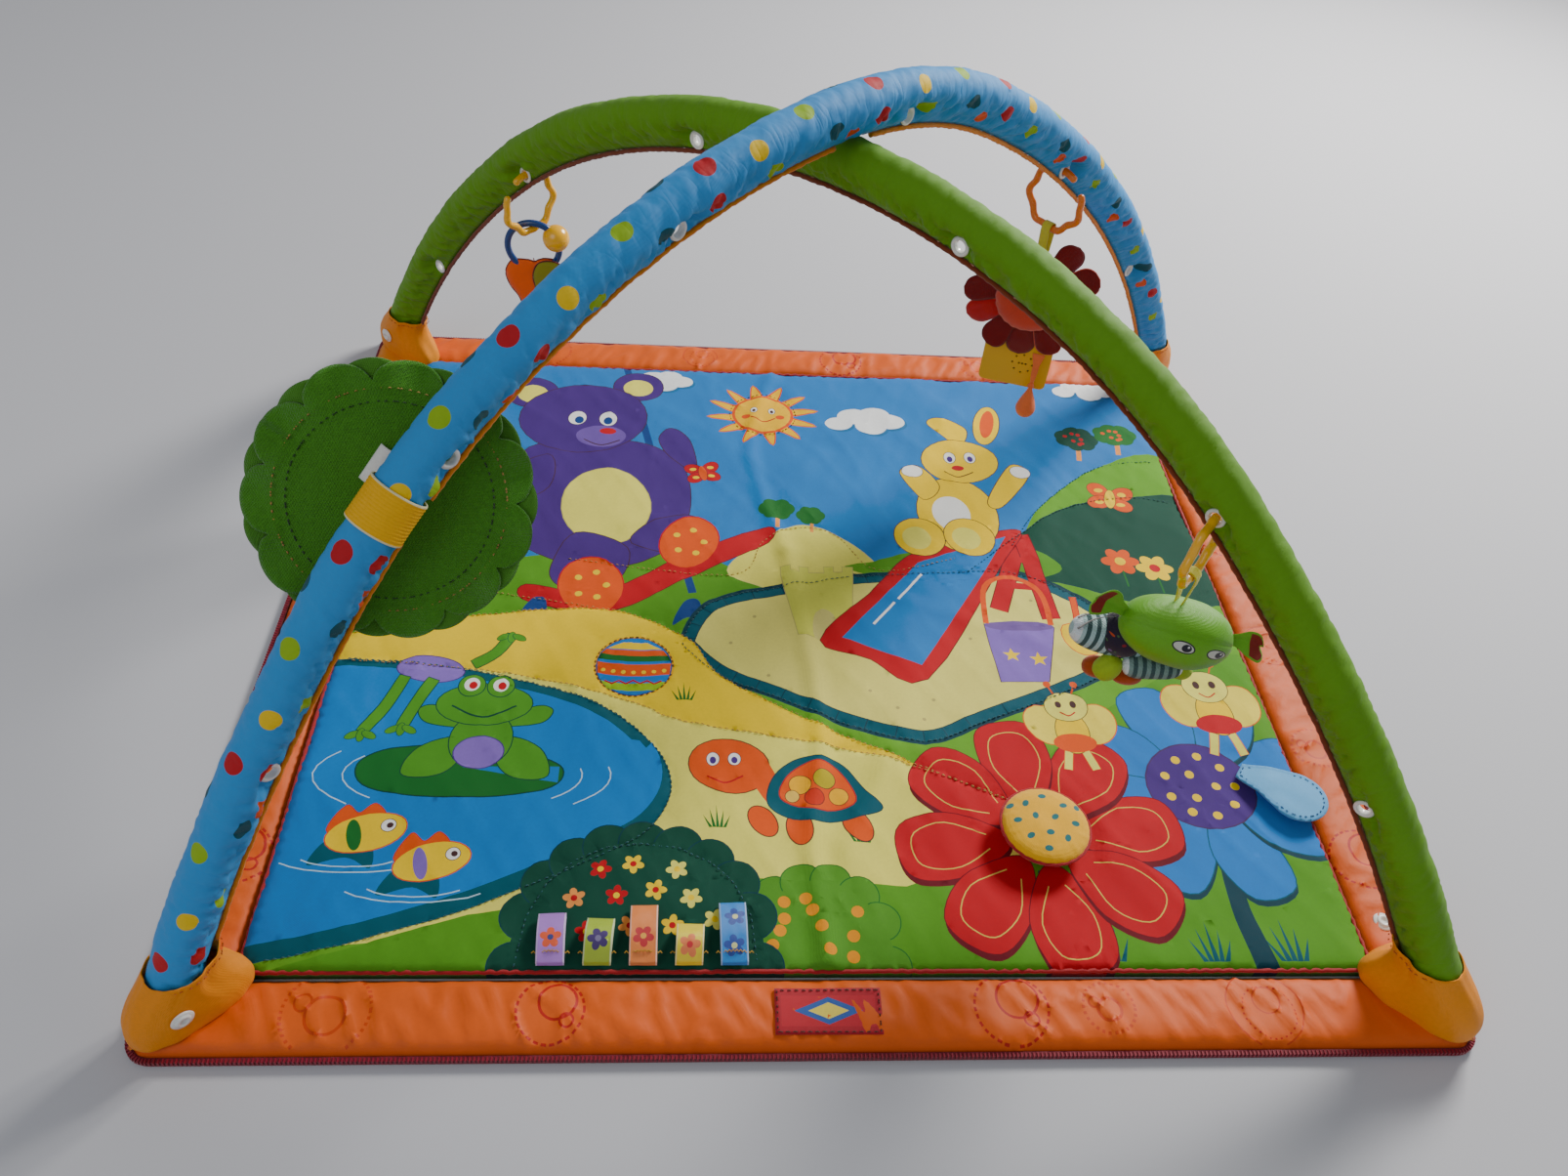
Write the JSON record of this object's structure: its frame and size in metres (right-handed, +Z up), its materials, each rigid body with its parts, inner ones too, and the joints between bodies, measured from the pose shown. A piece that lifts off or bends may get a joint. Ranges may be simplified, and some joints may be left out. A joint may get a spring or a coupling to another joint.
{
  "type": "activity play gym",
  "caption": "Quilted baby mat with a padded border and corner pockets that hold two crossed padded arches, with hanging toys and a flower pad.",
  "frame": {"origin": "centre of the mat's underside", "axes": "+X to the right along the mat's long side, +Y to the back, +Z up; the blue arch runs from front left to back right"},
  "size_m": [0.85, 0.78, 0.449],
  "materials": {
    "print_cotton": "printed woven cotton, quilted",
    "border_satin": "orange woven satin with a printed motif",
    "dark_piping": "dark red piping cord",
    "zip_coil": "dark red coil zip",
    "white_stud": "moulded white",
    "woven_label": "woven red, no lettering",
    "tag_ribbon": "printed ribbons in five colours",
    "pocket_cotton": "golden cotton, overlocked edge",
    "cushion_plush": "yellow puffed cotton",
    "squeaker": "thin white bellows",
    "flap_cotton": "blue cotton",
    "rod_fibreglass": "dark fibreglass tube",
    "spigot_metal": "drawn",
    "foot_rubber": "black",
    "green_cotton": "plain lime green sleeve",
    "brown_piping": "dark orange brown piping",
    "eyelet_enamel": "white enamel",
    "blue_cotton": "sky blue with coloured dots",
    "gold_piping": "golden piping",
    "yellow_elastic": "ribbed elastic",
    "dark_felt": "dark green felt",
    "green_felt": "green felt, tan stitching",
    "rim_cotton": "padded yellow cotton",
    "safety_mirror": "flexible mirror film",
    "yellow_link": "moulded",
    "orange_link": "moulded",
    "navy_ring": "moulded",
    "orange_fabric": "orange cotton",
    "olive_fabric": "olive cotton",
    "yellow_ball": "moulded",
    "lilac_fabric": "lilac cotton",
    "lime_ribbon": "woven ribbon",
    "red_plush": "orange red plush",
    "dark_red_felt": "dark red felt, orange edge",
    "case_plastic": "moulded yellow",
    "speaker_parts": "black paper and plastic",
    "cell_metal": "plain",
    "orange_pull": "stuffed orange cotton",
    "green_plush": "short glossy pile",
    "leaf_plush": "green with dark red inside",
    "striped_knit": "grey and teal stripes",
    "lime_plush": "lime cotton",
    "dark_scarf": "dark patterned cotton"
  },
  "bodies": {
    "mat": {"play_panel": "print_cotton", "border_front": "border_satin", "border_back": "border_satin", "border_left": "border_satin", "border_right": "border_satin", "panel_piping": "dark_piping", "edge_zip": "zip_coil", "snap_buttons": "white_stud", "maker_label": "woven_label", "ribbon_tags": "tag_ribbon", "pocket_front_left": "pocket_cotton", "pocket_front_right": "pocket_cotton", "pocket_back_left": "pocket_cotton", "pocket_back_right": "pocket_cotton", "cushion_squeaker": "squeaker"},
    "cushion": {"flower_cushion": "cushion_plush"},
    "flap": {"petal_flap": "flap_cotton"},
    "green_arch": {"green_rod_front": "rod_fibreglass", "green_rod_back": "rod_fibreglass", "green_spigot": "spigot_metal", "green_caps": "foot_rubber", "green_sleeve": "green_cotton", "green_piping": "brown_piping", "green_eyelets": "eyelet_enamel"},
    "blue_arch": {"blue_rod_front": "rod_fibreglass", "blue_rod_back": "rod_fibreglass", "blue_spigot": "spigot_metal", "blue_caps": "foot_rubber", "blue_sleeve": "blue_cotton", "blue_piping": "gold_piping", "blue_eyelets": "eyelet_enamel", "crown_snap": "white_stud"},
    "flower_pad": {"pad_strap": "yellow_elastic", "pad_felt_back": "dark_felt", "pad_felt_petals": "green_felt", "pad_rim": "rim_cotton", "pad_mirror": "safety_mirror"},
    "teether_hook": {"teether_link": "yellow_link"},
    "teether": {"teether_ring": "navy_ring", "teether_leaf": "orange_fabric", "teether_petal": "olive_fabric", "teether_ball": "yellow_ball", "teether_drop": "lilac_fabric"},
    "petal_toy_hook": {"petal_toy_link": "orange_link"},
    "petal_toy": {"petal_toy_loop": "lime_ribbon", "petal_toy_core": "red_plush", "petal_toy_mane": "dark_red_felt", "petal_toy_lining": "lilac_fabric", "music_case_back": "case_plastic", "music_case_front": "case_plastic", "music_speaker": "speaker_parts", "music_cells": "cell_metal"},
    "pull": {"music_pull": "orange_pull"},
    "plush_hook": {"plush_link": "yellow_link"},
    "plush_toy": {"plush_loop": "lime_ribbon", "plush_head": "green_plush", "plush_ears": "leaf_plush", "plush_body": "striped_knit", "plush_paws": "lime_plush", "plush_scarf": "dark_scarf"}
  },
  "joints": [
    {"name": "green_arch_lift", "type": "slide", "parent": "mat", "child": "green_arch", "axis": [0, 0, 1], "range_m": [0, 0.055]},
    {"name": "blue_arch_lift", "type": "slide", "parent": "green_arch", "child": "blue_arch", "axis": [0, 0, 1], "range_m": [0, 0.055]},
    {"name": "pad_swivel", "type": "hinge", "parent": "blue_arch", "child": "flower_pad", "pos_m": [-0.2512, -0.22941, 0.30512], "axis": [0.553, 0.5051, 0.6626], "range_deg": [-12, 35]},
    {"name": "teether_link_swing", "type": "hinge", "parent": "green_arch", "child": "teether_hook", "pos_m": [-0.2319, 0.21179, 0.27836], "axis": [-0.6744, -0.7384, 0], "range_deg": [-8, 30]},
    {"name": "teether_swing", "type": "hinge", "parent": "teether_hook", "child": "teether", "pos_m": [-0.2319, 0.21179, 0.23036], "axis": [-0.6744, -0.7384, 0], "range_deg": [-15, 30]},
    {"name": "petal_toy_link_swing", "type": "hinge", "parent": "blue_arch", "child": "petal_toy_hook", "pos_m": [0.18905, 0.17265, 0.32171], "axis": [-0.6744, 0.7384, 0], "range_deg": [-20, 20]},
    {"name": "petal_toy_swing", "type": "hinge", "parent": "petal_toy_hook", "child": "petal_toy", "pos_m": [0.18905, 0.17265, 0.2737], "axis": [-0.6744, 0.7384, 0], "range_deg": [-20, 20]},
    {"name": "plush_link_swing", "type": "hinge", "parent": "green_arch", "child": "plush_hook", "pos_m": [0.21266, -0.19422, 0.28561], "axis": [0.6744, 0.7384, 0], "range_deg": [-10, 30]},
    {"name": "plush_swing", "type": "hinge", "parent": "plush_hook", "child": "plush_toy", "pos_m": [0.21266, -0.19422, 0.23761], "axis": [0.6744, 0.7384, 0], "range_deg": [-10, 30]},
    {"name": "music_pull_out", "type": "slide", "parent": "petal_toy", "child": "pull", "axis": [0, 0, -1], "range_m": [0, 0.012], "stiffness_N_per_m": 60, "springref_m": -0.004},
    {"name": "flap_lift", "type": "hinge", "parent": "mat", "child": "flap", "pos_m": [0.326, -0.176, 0.0152], "axis": [-0.6157, -0.788, 0], "range_deg": [0, 120]},
    {"name": "cushion_press", "type": "slide", "parent": "mat", "child": "cushion", "axis": [0, 0, -1], "range_m": [0, 0.006], "stiffness_N_per_m": 500, "springref_m": -0.004}
  ]
}
